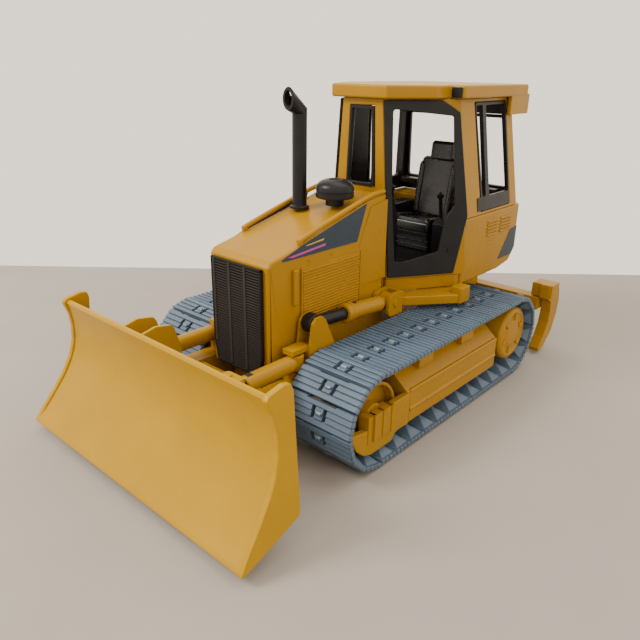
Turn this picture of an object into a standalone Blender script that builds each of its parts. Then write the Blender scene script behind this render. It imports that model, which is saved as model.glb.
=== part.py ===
"""Toy bulldozer, built as an assembly of separate named pieces.

Lengths below are in millimetres and are scaled to metres when a node is finished.
+X is the machine's left side, -Y is the front (blade) side, +Z is up, z = 0 is the ground.
"""
import math

import bmesh
import bpy
from mathutils import Matrix, Vector

for _o in list(bpy.data.objects):
    bpy.data.objects.remove(_o, do_unlink=True)

MM = 0.001
COL = bpy.context.scene.collection


# ---------------------------------------------------------------- materials
def make_material(name, rgb, rough):
    m = bpy.data.materials.new(name)
    m.use_nodes = True
    b = m.node_tree.nodes["Principled BSDF"]
    b.inputs["Base Color"].default_value = (rgb[0], rgb[1], rgb[2], 1.0)
    b.inputs["Roughness"].default_value = rough
    return m


MATS = {
    "yellow_plastic": make_material("yellow_plastic", (0.93, 0.45, 0.02), 0.35),
    "black_plastic": make_material("black_plastic", (0.014, 0.014, 0.016), 0.4),
    "track_plastic": make_material("track_plastic", (0.17, 0.22, 0.29), 0.55),
    "grille_plastic": make_material("grille_plastic", (0.03, 0.022, 0.017), 0.5),
    "decal_film": make_material("decal_film", (0.055, 0.075, 0.1), 0.4),
}


# ---------------------------------------------------------------- solids
def obj_of(bm, tag="tmp"):
    bmesh.ops.recalc_face_normals(bm, faces=bm.faces[:])
    me = bpy.data.meshes.new(tag)
    bm.to_mesh(me)
    bm.free()
    o = bpy.data.objects.new(tag, me)
    COL.objects.link(o)
    return o


def loops(rings, cap=True):
    """Closed skin through equal-count rings of 3-D points."""
    bm = bmesh.new()
    vs = [[bm.verts.new(p) for p in r] for r in rings]
    n = len(rings[0])
    for a, b in zip(vs[:-1], vs[1:]):
        for i in range(n):
            j = (i + 1) % n
            bm.faces.new((a[i], a[j], b[j], b[i]))
    if cap:
        bm.faces.new(vs[0][::-1])
        bm.faces.new(vs[-1])
    return obj_of(bm)


def prism(axis, pts, lo, hi):
    """Extrude a polygon along x (y,z points), y (x,z points) or z (x,y points)."""
    def at(p, t):
        if axis == "x":
            return (t, p[0], p[1])
        if axis == "y":
            return (p[0], t, p[1])
        return (p[0], p[1], t)
    return loops([[at(p, lo) for p in pts], [at(p, hi) for p in pts]])


def box(x0, x1, y0, y1, z0, z1):
    return prism("z", [(x0, y0), (x1, y0), (x1, y1), (x0, y1)], z0, z1)


def frame_to(p, d):
    d = Vector(d).normalized()
    up = Vector((0, 0, 1)) if abs(d.z) < 0.9 else Vector((0, 1, 0))
    u = d.cross(up).normalized()
    v = d.cross(u).normalized()
    m = Matrix((u, v, d)).transposed().to_4x4()
    m.translation = Vector(p)
    return m


def lathe(p, d, prof, n=32, closed=False):
    """Turn (distance along d, radius) points about the line through p along d."""
    m = frame_to(p, d)
    bm = bmesh.new()
    rings = []
    for s, r in prof:
        if r < 1e-6:
            rings.append([bm.verts.new(m @ Vector((0, 0, s)))])
        else:
            rings.append([bm.verts.new(m @ Vector((r * math.cos(2 * math.pi * i / n),
                                                   r * math.sin(2 * math.pi * i / n), s)))
                          for i in range(n)])
    pairs = list(zip(rings[:-1], rings[1:]))
    if closed:
        pairs.append((rings[-1], rings[0]))
    for a, b in pairs:
        for i in range(n):
            j = (i + 1) % n
            if len(a) == 1 and len(b) == 1:
                continue
            if len(a) == 1:
                bm.faces.new((a[0], b[i], b[j]))
            elif len(b) == 1:
                bm.faces.new((a[i], a[j], b[0]))
            else:
                bm.faces.new((a[i], a[j], b[j], b[i]))
    return obj_of(bm)


def rod(a, b, r, n=24):
    d = Vector(b) - Vector(a)
    return lathe(a, d, [(0, 0), (0, r), (d.length, r), (d.length, 0)], n)


def ring(a, b, ro, ri, n=24):
    d = Vector(b) - Vector(a)
    return lathe(a, d, [(0, ri), (0, ro), (d.length, ro), (d.length, ri)], n, closed=True)


def boolean(op, a, *others):
    for b in others:
        mod = a.modifiers.new("b", "BOOLEAN")
        mod.operation = op
        mod.solver = "EXACT"
        mod.object = b
        bpy.context.view_layer.update()
        dg = bpy.context.evaluated_depsgraph_get()
        me = bpy.data.meshes.new_from_object(a.evaluated_get(dg))
        a.modifiers.clear()
        a.data = me
        bpy.data.objects.remove(b, do_unlink=True)
    return a


def fuse(a, *others):
    return boolean("UNION", a, *others)


def cut(a, *others):
    return boolean("DIFFERENCE", a, *others)


def bevel(o, cond, width, seg=1):
    bm = bmesh.new()
    bm.from_mesh(o.data)
    es = [e for e in bm.edges if cond(e.verts[0].co, e.verts[1].co)]
    bmesh.ops.bevel(bm, geom=es, offset=width, segments=seg, profile=0.5, affect="EDGES",
                    clamp_overlap=True)
    bm.to_mesh(o.data)
    bm.free()
    return o


def moved(o, m):
    o.data.transform(m)
    return o


def mirrored(o):
    c = bpy.data.objects.new("tmp", o.data.copy())
    COL.objects.link(c)
    c.data.transform(Matrix.Diagonal((-1, 1, 1, 1)))
    c.data.flip_normals()
    return c


def node(name, o, mat):
    bm = bmesh.new()
    bm.from_mesh(o.data)
    bmesh.ops.remove_doubles(bm, verts=bm.verts[:], dist=2e-4)
    bmesh.ops.dissolve_degenerate(bm, edges=bm.edges[:], dist=1e-4)
    bmesh.ops.triangulate(bm, faces=[f for f in bm.faces if len(f.verts) > 4])
    bmesh.ops.recalc_face_normals(bm, faces=bm.faces[:])
    me = bpy.data.meshes.new(name)
    bm.to_mesh(me)
    bm.free()
    me.transform(Matrix.Scale(MM, 4))
    me.materials.clear()
    me.materials.append(MATS[mat])
    n = bpy.data.objects.new(name, me)
    COL.objects.link(n)
    bpy.data.objects.remove(o, do_unlink=True)
    return n


def pair(name, o, mat):
    r = mirrored(o)
    node(name + "_left", o, mat)
    node(name + "_right", r, mat)


def local(o, p, u, v, n):
    """Place a solid drawn in (u, v, n) coordinates on a sloping plane."""
    m = Matrix((Vector(u), Vector(v), Vector(n))).transposed().to_4x4()
    m.translation = Vector(p)
    return moved(o, m)


# ---------------------------------------------------------------- key dimensions
REAR_PIVOT = (30.0, 32.0)       # y, z of the push frame's hinge
LIFT_T = (11.0, 69.5)           # y, z of the lift cylinder's rear pin
LIFT_E = (-64.0, 75.5)          # y, z of the lift rod's front pin
LIFT_X = 33.0
ANG_X, ANG_Z = 34.6, 56.0
ANG_A = -79.0                   # y of the angle cylinder's rear pin
ANG_B = -130.0                  # y of the angle rod's front pin
BLADE_PIV = -119.0              # y of the blade's upright pivot
DRUM = (101.0, 33.0)
IDLER = (-63.0, 31.0)
RIP = (142.0, 52.0)


def hood_z(y):
    return 120.0 + 0.2353 * (y + 68.0)


# ---------------------------------------------------------------- chassis
f = box(-22, 22, -78, 126, 13, 47.6)
f = fuse(f, box(-45.6, 45.6, -46, -35, 8, 16),
         box(-45.6, 45.6, 50, 74, 22, 40),
         rod((-45.6, REAR_PIVOT[0], REAR_PIVOT[1]), (45.6, REAR_PIVOT[0], REAR_PIVOT[1]), 4.0),
         rod((-80, DRUM[0], DRUM[1]), (80, DRUM[0], DRUM[1]), 5.0),
         box(-14.6, 14.6, 120, 148, 44, 60))
f = cut(f, rod((-30, RIP[0], RIP[1]), (30, RIP[0], RIP[1]), 3.1))
node("main_frame", f, "yellow_plastic")

# ---------------------------------------------------------------- hood
h = prism("x", [(-91, 43), (-91, 112.5), (-88.2, 115.2), (-68, 120), (17, hood_z(17)),
                (17, 48), (-78.4, 48), (-78.4, 43)], -25, 25)
h = cut(h, prism("x", [(15.6, 96), (30, 96), (30, 150), (14.6, 150)], -30, 30))
h = bevel(h, lambda a, b: abs(a.x) > 24.9 and abs(b.x) > 24.9 and a.x * b.x > 0
          and a.z > 112 and b.z > 112, 1.8)
h = bevel(h, lambda a, b: abs(a.x) > 24.9 and abs(b.x) > 24.9 and a.x * b.x > 0
          and a.y < -90.9 and b.y < -90.9, 1.6)
for s in (1, -1):
    # the cowl widens from the hood side to the door's front edge
    w = [(-11, 84), (-11, 111.8), (-1.6, 133.6), (14.4, 136.4), (14.9, 96.4), (15.6, 84)]
    h = fuse(h, loops([[(s * 24.4, y, z) for y, z in w],
                       [(s * (25.12 + 1.5 * (y + 11) / 27.0), y, z) for y, z in w]]))
node("hood_shell", h, "yellow_plastic")

g = prism("y", [(-21.4, 111.4), (-21.4, 58), (-19, 45), (19, 45), (21.4, 58), (21.4, 111.4)],
          -93.6, -91.3)
node("radiator_grille", g, "grille_plastic")

r = prism("x", [(-64, 121.4), (-60, 124.4), (-2.5, 141.4), (14, 143), (14, 140.6), (-2, 138.6),
                (-58, 122.8)], 22.4, 25.0)
pair("hood_rail", r, "yellow_plastic")
pair("louvre_panel", prism("x", [(-65.4, 107.3), (-65.4, 78), (-10, 78), (-10, 107.3)],
                           25.3, 26.3), "yellow_plastic")
pair("hood_decal", prism("x", [(-83.0, 113.9), (-66, 118.6), (-8, 132.4), (-14.4, 113.6)],
                         25.3, 25.6), "decal_film")

# exhaust stack with a mitred head that opens forward
e = lathe((-13, -26.7, 131.6), (0, 0, 1),
          [(0, 0), (0, 6.2), (2.6, 6.2), (3.4, 4.6), (59, 4.6), (59, 0)], 24)
bm = bmesh.new()
for k in range(24):
    a = 2 * math.pi * k / 24
    c, d = math.cos(a), math.sin(a)
    bm.verts.new((-13 + 4.6 * c, -26.7 + 4.6 * d, 188.6))
    bm.verts.new((-13 + 4.6 * c, -26.7 + 4.6 * d, 191.6 + 0.3 * d))
    bm.verts.new((-13 + 4.9 * c, -36.6, 197.2 + 6.8 * d))
bmesh.ops.convex_hull(bm, input=bm.verts[:])
bmesh.ops.delete(bm, geom=[v for v in bm.verts if not v.link_faces], context="VERTS")
e = fuse(cut(e, box(-20, -6, -34, -20, 189.6, 215)), obj_of(bm))
mouth = [(-13 + 3.0 * math.cos(math.pi * k / 10), 197.3 + 4.7 * math.sin(math.pi * k / 10)) for k in range(20)]
e = cut(e, prism("y", mouth, -44, -31))
node("exhaust_stack", e, "black_plastic")

node("air_cleaner", lathe((7, -15.5, 134.3), (0, 0, 1),
                          [(0, 0), (0, 5.8), (4.7, 5.8), (4.7, 11.3), (5.4, 12.1), (11.2, 12.1),
                           (13.2, 11.2), (15, 9), (16, 6.2), (16.2, 4.6), (15.3, 3.6), (15.1, 0)], 28),
     "black_plastic")


# ---------------------------------------------------------------- cab
def cab_ring(z, inset=False):
    t = (z - 80.5) / 116.5
    if inset:
        a = [(23.9, 22.1), (54.8, 71.3), (54.8, 151.4)]
        b = [(14.6, 19.9), (42.3, 64.0), (42.3, 132.0)]
    else:
        a = [(25.1, 19.9), (57.0, 70.7), (57.0, 153.6)]
        b = [(15.8, 17.7), (44.5, 63.4), (44.5, 134.2)]
    half = [(pa[0] + (pb[0] - pa[0]) * t, pa[1] + (pb[1] - pa[1]) * t) for pa, pb in zip(a, b)]
    pts = half + [(-x, y) for x, y in reversed(half)]
    return [(x, y, z) for x, y in pts]


DU = Vector((0.53200519, 0.84674109, 0.0))
DN = Vector((0.84536944, -0.53113655, 0.05696033)).normalized()
DV = DN.cross(DU).normalized()
if DV.z < 0:
    DV = -DV
DP = Vector((25.0, 20.0, 82.0))
SW = Vector((-0.1067, 0.0, 0.9943)).normalized()
SY = Vector((0.0, 1.0, 0.0))
SN = SY.cross(SW).normalized()
if SN.x < 0:
    SN = -SN
SP = Vector((57.0, 0.0, 80.5))


def zs(z):
    return (z - 80.5) / SW.z


DOOR_OUT = [(-0.2, 0), (49.2, 0), (57.3, 39.8), (46.8, 107), (34, 114.4), (-6.4, 114.4)]
DOOR_IN = [(4.6, 10.9), (10.2, 10.1), (36.4, 16), (40.7, 38.7), (46.9, 47), (42.6, 104.8),
           (20, 107.1), (0.1, 109.2), (1.1, 54.2)]
DOOR_CUT = [(4.2, 9.6), (10, 8.8), (37.6, 14.8), (41.8, 38), (48.2, 46.6), (43.6, 106),
            (20, 108.4), (-0.4, 110.2), (0.6, 54.2)]
SIDE_OUT = [(92, 121), (135.6, 121), (125.6, 194.5), (81.6, 194.5)]
SIDE_IN1 = [(94.3, 131), (99.6, 131), (93.0, 192.5), (84.0, 192.5)]
SIDE_IN2 = [(102.8, 131), (132.2, 131), (123.6, 192.5), (96.2, 192.5)]


def on_side(pts, lo, hi):
    return local(prism("z", [(y, zs(z)) for y, z in pts], lo, hi), SP, SY, SW, SN)


c = loops([cab_ring(80.6), cab_ring(197.0)])
c = cut(c, loops([cab_ring(78.0, True), cab_ring(200.0, True)]))
for s in (1, -1):
    k = local(prism("z", DOOR_CUT, -9, 9), DP, DU, DV, DN)
    w = on_side([(91.7, 120.7), (135.9, 120.7), (125.9, 194.8), (81.3, 194.8)], -9, 9)
    if s < 0:
        kk, ww = mirrored(k), mirrored(w)
        bpy.data.objects.remove(k, do_unlink=True)
        bpy.data.objects.remove(w, do_unlink=True)
        k, w = kk, ww
    c = cut(c, k, w)
c = cut(c, prism("y", [(-12.1, 141.9), (12.1, 141.9), (10.1, 192.9), (-10.1, 192.9)], 10, 30),
        prism("y", [(-48.2, 128.6), (48.2, 128.6), (43.3, 184.6), (-43.3, 184.6)], 128, 160),
        box(-70, 70, 70.2, 170, 60, 118.9))
node("cab_shell", c, "yellow_plastic")

p = prism("z", [(24.4, 20.6), (52.0, 64.6), (52.0, 70.1), (-52.0, 70.1), (-52.0, 64.6), (-24.4, 20.6)],
          71.5, 80.2)
node("cab_base", p, "yellow_plastic")

b = prism("x", [(70.5, 71), (128, 71), (148, 74), (153.5, 80), (155, 92), (155, 118.5), (70.5, 118.5)],
          -53, 53)
b = bevel(b, lambda a, q: abs(a.x) > 52.9 and abs(q.x) > 52.9 and a.x * q.x > 0
          and a.y > 147 and q.y > 147, 2.2)
b = cut(b, box(-46, 46, 60, 124, 80.5, 130))
node("rear_body", b, "yellow_plastic")

half = [(22, 13), (40, 42), (40, 59), (49.5, 59), (49.5, 150), (46, 155)]
rf = prism("z", half + [(-x, y) for x, y in reversed(half)], 197.3, 205.5)
rf = bevel(rf, lambda a, q: a.z > 205.4 and q.z > 205.4, 1.2)
rf = fuse(rf, box(-48.8, 48.8, 152.0, 154.6, 185, 200),
          box(46.2, 49.2, 126, 154.6, 185, 200), box(-49.2, -46.2, 126, 154.6, 185, 200))
node("cab_roof", rf, "yellow_plastic")

w = prism("y", [(-11.8, 142.2), (11.8, 142.2), (9.8, 192.6), (-9.8, 192.6)], 17.4, 20.4)
w = cut(w, prism("y", [(-9.9, 144.2), (9.9, 144.2), (8.0, 190.8), (-8.0, 190.8)], 10, 30))
node("front_window_frame", w, "black_plastic")

RP, RU = Vector((0, 147.2, 118.9)), Vector((1, 0, 0))
RV = Vector((0, -0.1643, 0.9864)).normalized()
RN = Vector((0, -0.9864, -0.1643)).normalized()


def on_rear(pts, lo, hi):
    return local(prism("z", [(x, (z - 118.9) / RV.z) for x, z in pts], lo, hi), RP, RU, RV, RN)


w = on_rear([(-47.7, 129.0), (47.7, 129.0), (42.9, 184.2), (-42.9, 184.2)], -0.4, 2.3)
w = cut(w, on_rear([(-45.9, 131.4), (45.9, 131.4), (41.4, 182.2), (-41.4, 182.2)], -9, 9))
node("rear_window_frame", w, "black_plastic")

w = on_side(SIDE_OUT, -2.6, 0.3)
w = cut(w, on_side(SIDE_IN1, -8, 8), on_side(SIDE_IN2, -8, 8))
pair("side_window_frame", w, "black_plastic")

d = local(prism("z", DOOR_OUT, 0.4, 2.0), DP, DU, DV, DN)
d = cut(d, local(prism("z", DOOR_IN, -6, 8), DP, DU, DV, DN))
pair("cab_door", d, "black_plastic")

half = [(21.5, 24), (44, 60.5), (45.5, 66), (45.5, 123.5)]
fl = prism("z", half + [(-x, y) for x, y in reversed(half)], 80.8, 84.2)
fl = fuse(fl, prism("x", [(26, 83), (46, 83), (46, 118), (40, 132), (26, 136)], -13, 13),
          prism("x", [(82, 83), (118, 83), (118, 116), (86, 112), (82, 108)], 19.6, 31.5),
          prism("x", [(82, 83), (118, 83), (118, 116), (86, 112), (82, 108)], -31.5, -19.6),
          rod((22, 90, 108), (22, 86, 128), 1.4, 10), rod((-22, 90, 108), (-22, 86, 128), 1.4, 10),
          lathe((22, 86.2, 127), (0, -0.2, 1), [(0, 0), (0.6, 2.4), (3, 2.8), (5, 0)], 12),
          lathe((-22, 86.2, 127), (0, -0.2, 1), [(0, 0), (0.6, 2.4), (3, 2.8), (5, 0)], 12))
node("cab_floor", fl, "black_plastic")

s = prism("x", [(86, 84.5), (114, 84.5), (112, 99.6), (84, 99.6)], -14.6, 14.6)
node("seat_base", s, "black_plastic")
s = prism("x", [(79.5, 100), (114, 100), (114, 106.6), (104, 106.8), (84, 110.2), (80, 108)], -17, 17)
node("seat_cushion", s, "black_plastic")
s = fuse(prism("x", [(108.5, 107.2), (116, 107.2), (124, 150), (120.5, 151.5), (115.5, 150)], -16.6, 16.6),
         prism("x", [(117, 148), (122.5, 148), (124.5, 162), (122, 164), (118.5, 162)], -10.2, 10.2))
node("seat_back", s, "black_plastic")

pair("work_light", box(40.6, 48.0, 57.6, 58.7, 197.8, 204.6), "black_plastic")
pair("rear_decal", prism("x", [(126, 79), (147.5, 79), (152.2, 84), (152.2, 101), (141.9, 100)],
                         53.3, 53.6), "decal_film")

st = prism("z", [(27, 21.2), (38.5, 20.2), (63.5, 51), (63.5, 68), (54, 70.1), (27, 27)], 64.6, 71.2)
st = fuse(st, box(56.5, 65.5, 52, 64, 64.4, 75.6))
pair("step", st, "yellow_plastic")

# ---------------------------------------------------------------- lift cylinders
br = prism("z", [(25.4, 3.6), (28.8, 3.6), (28.8, 17.6), (37.0, 17.6), (37.0, 3.6), (39.8, 3.6),
                 (39.8, 19.6), (25.4, 19.6)], 61, 76.6)
br = bevel(br, lambda a, q: abs(a.y - 3.6) < 0.01 and abs(q.y - 3.6) < 0.01
           and abs(a.z - q.z) < 0.01, 4.5, 2)
br = fuse(br, rod((26, LIFT_T[0], LIFT_T[1]), (39.4, LIFT_T[0], LIFT_T[1]), 2.6))
pair("lift_bracket", br, "yellow_plastic")

T = Vector((LIFT_X, LIFT_T[0], LIFT_T[1]))
E = Vector((LIFT_X, LIFT_E[0], LIFT_E[1]))
ax = (E - T).normalized()
lb = lathe(T, ax, [(3.2, 0), (3.2, 3.5), (8.4, 3.5), (10, 5.2), (39, 5.2), (39, 6.2), (46.5, 6.2), (46.5, 4.05), (13, 4.05),
                   (13, 0)], 24)
lb = fuse(lb, rod((29.2, T.y, T.z), (36.6, T.y, T.z), 5.9))
lb = cut(lb, rod((20, T.y, T.z), (45, T.y, T.z), 2.72))
pair("lift_barrel", lb, "yellow_plastic")
L = (E - T).length
lr = rod(T + ax * 24.0, E - ax * 3.4, 3.9)
lr = fuse(lr, rod((29.6, E.y, E.z), (36.4, E.y, E.z), 5.9))
lr = cut(lr, rod((20, E.y, E.z), (45, E.y, E.z), 3.4))
pair("lift_rod", lr, "black_plastic")

# ---------------------------------------------------------------- push frame
arm = [(REAR_PIVOT[0] + 8, 25), (REAR_PIVOT[0] + 8, 39), (REAR_PIVOT[0] - 4, 41), (-48, 44), (-112, 44),
       (-112, 25), (REAR_PIVOT[0] - 2, 23)]
tower = [(-72, 40), (-50, 40), (-50, 60), (-58.2, 77.4), (-61.2, 80.4), (-66.4, 80.4), (-69.4, 77.4),
         (-72, 60)]
pf = fuse(prism("x", arm, 27.4, 39.4), prism("x", arm, -39.4, -27.4),
          box(-39.0, 39.0, -111.6, -99, 27.2, 42.8),
          box(-13, 13, -124, -106, 27.4, 42.6))
for s in (1, -1):
    def sx(a, b):
        return (a, b) if s > 0 else (-b, -a)
    for lo, hi in ((27.5, 28.8), (37.2, 39.1)):
        q = sx(lo, hi)
        pf = fuse(pf, prism("x", tower, q[0], q[1]))
    q = sx(29.0, 37.2)
    pf = fuse(pf, box(q[0], q[1], -72, -50, 42, 62),
              box(q[0] + (0 if s > 0 else 0), q[1], -84.5, -70, 42, 50.6),
              box(q[0], q[1], -84.5, -70, 61.4, 64.4),
              rod((s * ANG_X, ANG_A, 48), (s * ANG_X, ANG_A, 64.0), 2.4),
              rod((s * 28.0, LIFT_E[0], LIFT_E[1]), (s * 38.2, LIFT_E[0], LIFT_E[1]), 2.4))
pf = fuse(pf, rod((0, BLADE_PIV, 21), (0, BLADE_PIV, 49), 3.6))
pf = cut(pf, rod((-50, REAR_PIVOT[0], REAR_PIVOT[1]), (50, REAR_PIVOT[0], REAR_PIVOT[1]), 4.1))
# the angle barrels swing in a pocket in front of each tower
pf = cut(pf, box(ANG_X - 5.6, ANG_X + 9, -90, -73.2, 50.8, 61.2),
         box(-ANG_X - 9, -ANG_X + 5.6, -90, -73.2, 50.8, 61.2))
node("push_frame", pf, "yellow_plastic")

# ---------------------------------------------------------------- angle cylinders
A = Vector((ANG_X, ANG_A, ANG_Z))
B = Vector((ANG_X, ANG_B, ANG_Z))
fw = Vector((0, -1, 0))
ab = lathe(A, fw, [(2.8, 0), (2.8, 4.4), (6, 5.0), (40.4, 5.0), (40.4, 3.3),
                   (9, 3.3), (9, 0)], 24)
ab = fuse(ab, rod((A.x, A.y, A.z - 4.6), (A.x, A.y, A.z + 4.6), 4.6))
ab = cut(ab, rod((A.x, A.y, 40), (A.x, A.y, 70), 2.5))
pair("angle_barrel", ab, "yellow_plastic")
ar = rod(A + fw * 17.0, B - fw * 3, 3.2)
ar = fuse(ar, rod((B.x, B.y, B.z - 4.0), (B.x, B.y, B.z + 4.0), 4.8))
ar = cut(ar, rod((B.x, B.y, 40), (B.x, B.y, 70), 3.0))
pair("angle_rod", ar, "black_plastic")

# ---------------------------------------------------------------- blade
def wide(z):
    return 88.6 + 0.1013 * (80.4 - z)


def flared(pts, a, b):
    """A solid between two side planes that spread towards the ground; a, b are offsets from the edge line."""
    return loops([[(wide(z) + a if a > -50 else -wide(z), y, z) for y, z in pts],
                  [(wide(z) + b, y, z) for y, z in pts]])


front = [(-152.8, 80.4), (-150.6, 73), (-149.3, 64), (-149.5, 54), (-152.2, 44), (-157.2, 34),
         (-164.2, 24), (-171.6, 14.6), (-178.4, 7.2)]
back = [(-176.6, 5.8), (-169.2, 12.2), (-161.4, 21.6), (-154.2, 32.2), (-148.9, 43.2), (-146.0, 54),
        (-145.9, 64), (-147.2, 73.4), (-149.6, 81.6)]
bl = flared(front + back, -99, 0)
plate = [(-154.6, 81.0), (-152.8, 83.2), (-143.0, 85.2), (-139.0, 84.4), (-137.6, 80.6), (-139.6, 17.0),
         (-176.5, 5.2), (-179.0, 5.9), (-172.8, 14.9), (-165.1, 24.6), (-158.2, 34.6), (-153.1, 44.4),
         (-150.4, 54), (-150.1, 64), (-151.5, 73)]
pl = flared(plate, -1.8, 1.8)
bl = fuse(bl, mirrored(pl), pl)
rib = [(-137.6, 24), (-137.6, 70), (-148.9, 72.4), (-147.6, 63.4), (-147.6, 54.2), (-150.4, 43.8), (-155.6, 33.0),
       (-162.4, 22.8)]
for x in (19.0, 26.0, 43.6, 61.0):
    for s in (1, -1):
        lo, hi = sorted((s * x, s * (x + 2.6)))
        bl = fuse(bl, prism("x", rib, lo, hi))
bl = fuse(bl, box(-62.3, 62.3, -150.4, -138.2, 36, 46.0))
for s in (1, -1):
    lo, hi = sorted((s * 29.0, s * 43.0))
    bl = fuse(bl, box(lo, hi, -147.7, -124.6, 45.5, 51.4), box(lo, hi, -147.5, -124.6, 60.6, 65.2),
              rod((s * ANG_X, ANG_B, 49), (s * ANG_X, ANG_B, 63), 2.0))
# two tall cheeks beside the right hand rod eye
cheek = [(-148.0, 45), (-147.7, 72.8), (-132, 76.4), (-121.6, 74.6), (-119.6, 72.2), (-115.4, 58), (-116.6, 45)]
bl = fuse(bl, prism("x", cheek, -27.0, -24.8), prism("x", cheek, -45.2, -43.0))
bl = fuse(bl, box(-9, 9, -149.0, -113.8, 43.2, 48.2), box(-9, 9, -161.4, -113.8, 22.4, 26.8))
bl = cut(bl, rod((0, BLADE_PIV, 10), (0, BLADE_PIV, 60), 3.7))
node("blade", bl, "yellow_plastic")


# ---------------------------------------------------------------- running gear
def stadium(r, n=18):
    pts = []
    for i in range(n + 1):
        a = math.pi / 2 + math.pi * i / n
        pts.append((-63 + r * math.cos(a), 31 + r * math.sin(a)))
    for i in range(n + 1):
        a = -math.pi / 2 + math.pi * i / n
        pts.append((101 + r * math.cos(a), 31 + r * math.sin(a)))
    return pts


t = cut(prism("x", stadium(31.0), 40.5, 88.0), prism("x", stadium(26.4), 30, 100))
pair("track_belt", t, "track_plastic")

boot = [(-87.4, 30.2), (-87.4, 26.4), (-83.2, 18.8), (-76.9, 13.2), (-70.3, 10.8), (-50.2, 11.0), (-46.4, 15.5),
        (-33, 15.5), (-33, 36.2), (-50.6, 36.2), (-50.6, 28.4), (-76, 28.4)]
inner = [(-84.5, 24), (-81, 14.5), (-74, 10.9), (-50, 10.9), (-33, 15.4), (-33, 40.6), (-50, 42.5),
         (-60, 42.5), (-72, 38), (-82, 31)]
tf = prism("y", [(46, 15), (84, 15), (84, 36.5), (72, 46.5), (46, 46.5)], -35, 76.4)
tf = fuse(tf, prism("x", boot, 80.8, 85.0), box(80.9, 87.0, -70, -52.4, 20, 36.6), prism("x", inner, 46.1, 48.6),
          rod((47, IDLER[0], IDLER[1]), (82, IDLER[0], IDLER[1]), 4.0),
          box(60, 79, -16, 0, 44, 52), box(60, 79, 34, 50, 44, 52))
pair("track_frame", tf, "yellow_plastic")

idl = lathe((49.0, IDLER[0], IDLER[1]), (1, 0, 0),
            [(0, 4.1), (0, 17.5), (2, 19.6), (5, 19.6), (5, 26.0), (12, 26.0), (12, 19.6),
             (30.6, 20.8), (31.4, 20.2), (31.4, 18.9), (25.4, 18.2), (25.4, 8.4), (31.2, 7.8), (31.2, 4.1)], 32, closed=True)
pair("idler", idl, "yellow_plastic")

sp = lathe((47.0, DRUM[0], DRUM[1]), (1, 0, 0),
           [(0, 5.1), (0, 18.6), (2, 20.3), (4, 20.3), (4, 24.0), (11, 24.0), (11, 20.3), (35.5, 20.3), (37.5, 17.6), (37.5, 0), (34.2, 0), (34.2, 5.1)],
           36)
bm = bmesh.new()
bm.from_mesh(sp.data)
rims = [e for e in bm.edges if e.is_boundary]
bmesh.ops.bridge_loops(bm, edges=rims)
bm.to_mesh(sp.data)
bm.free()
pair("sprocket_drum", sp, "yellow_plastic")

# ---------------------------------------------------------------- ripper
arm = [(135.5, 46), (135.5, 58), (150, 58), (158.5, 50), (158.5, 36), (152, 36.2), (146, 45.6)]
rp = fuse(box(-77.4, 77.4, 156, 167.8, 34.5, 45.5), prism("x", arm, 15, 22), prism("x", arm, -22, -15),
          rod((-21, RIP[0], RIP[1]), (21, RIP[0], RIP[1]), 3.0))
rp = fuse(rp, box(60, 66, 154, 160, 35, 45), box(-66, -60, 154, 160, 35, 45))
node("ripper_frame", rp, "yellow_plastic")
shank = [(156, 57.6), (171, 56.4), (176.5, 50), (179, 40), (177.5, 29), (171.5, 14), (160, 4.2), (151, 1.8),
         (149.8, 5.2), (157, 14), (162, 24), (163.5, 33), (162, 42), (156, 46)]
pair("ripper_shank", fuse(prism("x", shank, 77.8, 86.4), box(70.5, 87.6, 157.4, 171.6, 46, 57)), "yellow_plastic")
mid = [(168.2, 46.4), (168.2, 56.4), (174, 56), (178.6, 50), (179, 40), (176, 29), (168, 14), (158, 3), (151, 1.8),
       (150.4, 5.5), (158, 18), (163.5, 30), (168.2, 33.8)]
node("ripper_shank_center", prism("x", mid, -4.1, 4.1), "yellow_plastic")
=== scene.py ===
"""Toy bulldozer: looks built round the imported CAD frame. Shapes are drawn in millimetres."""
import math

import bmesh
import bpy
from mathutils import Matrix, Vector


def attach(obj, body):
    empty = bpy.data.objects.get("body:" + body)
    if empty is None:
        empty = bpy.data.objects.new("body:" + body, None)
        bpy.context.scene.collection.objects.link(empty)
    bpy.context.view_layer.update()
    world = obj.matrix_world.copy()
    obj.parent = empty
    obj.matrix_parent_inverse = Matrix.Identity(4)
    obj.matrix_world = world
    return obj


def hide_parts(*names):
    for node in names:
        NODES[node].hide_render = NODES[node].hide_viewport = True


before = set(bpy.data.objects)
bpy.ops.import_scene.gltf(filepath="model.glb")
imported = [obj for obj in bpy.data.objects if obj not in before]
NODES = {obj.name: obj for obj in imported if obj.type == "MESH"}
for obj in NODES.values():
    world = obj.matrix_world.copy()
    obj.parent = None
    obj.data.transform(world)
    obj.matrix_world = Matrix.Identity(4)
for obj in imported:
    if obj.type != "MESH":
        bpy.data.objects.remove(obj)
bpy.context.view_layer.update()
MM = 0.001
COL = bpy.context.scene.collection


# ------------------------------------------------------------------ camera, floor, light
def camera():
    h, p, r = math.radians(41.74), math.radians(21.9), math.radians(0.86)
    fwd = Vector((-math.sin(h) * math.cos(p), math.cos(h) * math.cos(p), -math.sin(p)))
    right = Vector((math.cos(h), math.sin(h), 0.0))
    up = right.cross(fwd)
    rr = right * math.cos(r) + up * math.sin(r)
    uu = up * math.cos(r) - right * math.sin(r)
    m = Matrix((rr, uu, -fwd)).transposed().to_4x4()
    m.translation = Vector((264.14, -315.89, 214.72)) * MM
    cd = bpy.data.cameras.new("camera")
    cd.lens, cd.sensor_width, cd.sensor_fit = 35.35, 36.0, "HORIZONTAL"
    cd.clip_start = 0.01
    ob = bpy.data.objects.new("camera", cd)
    ob.matrix_world = m
    COL.objects.link(ob)
    bpy.context.scene.camera = ob


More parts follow.
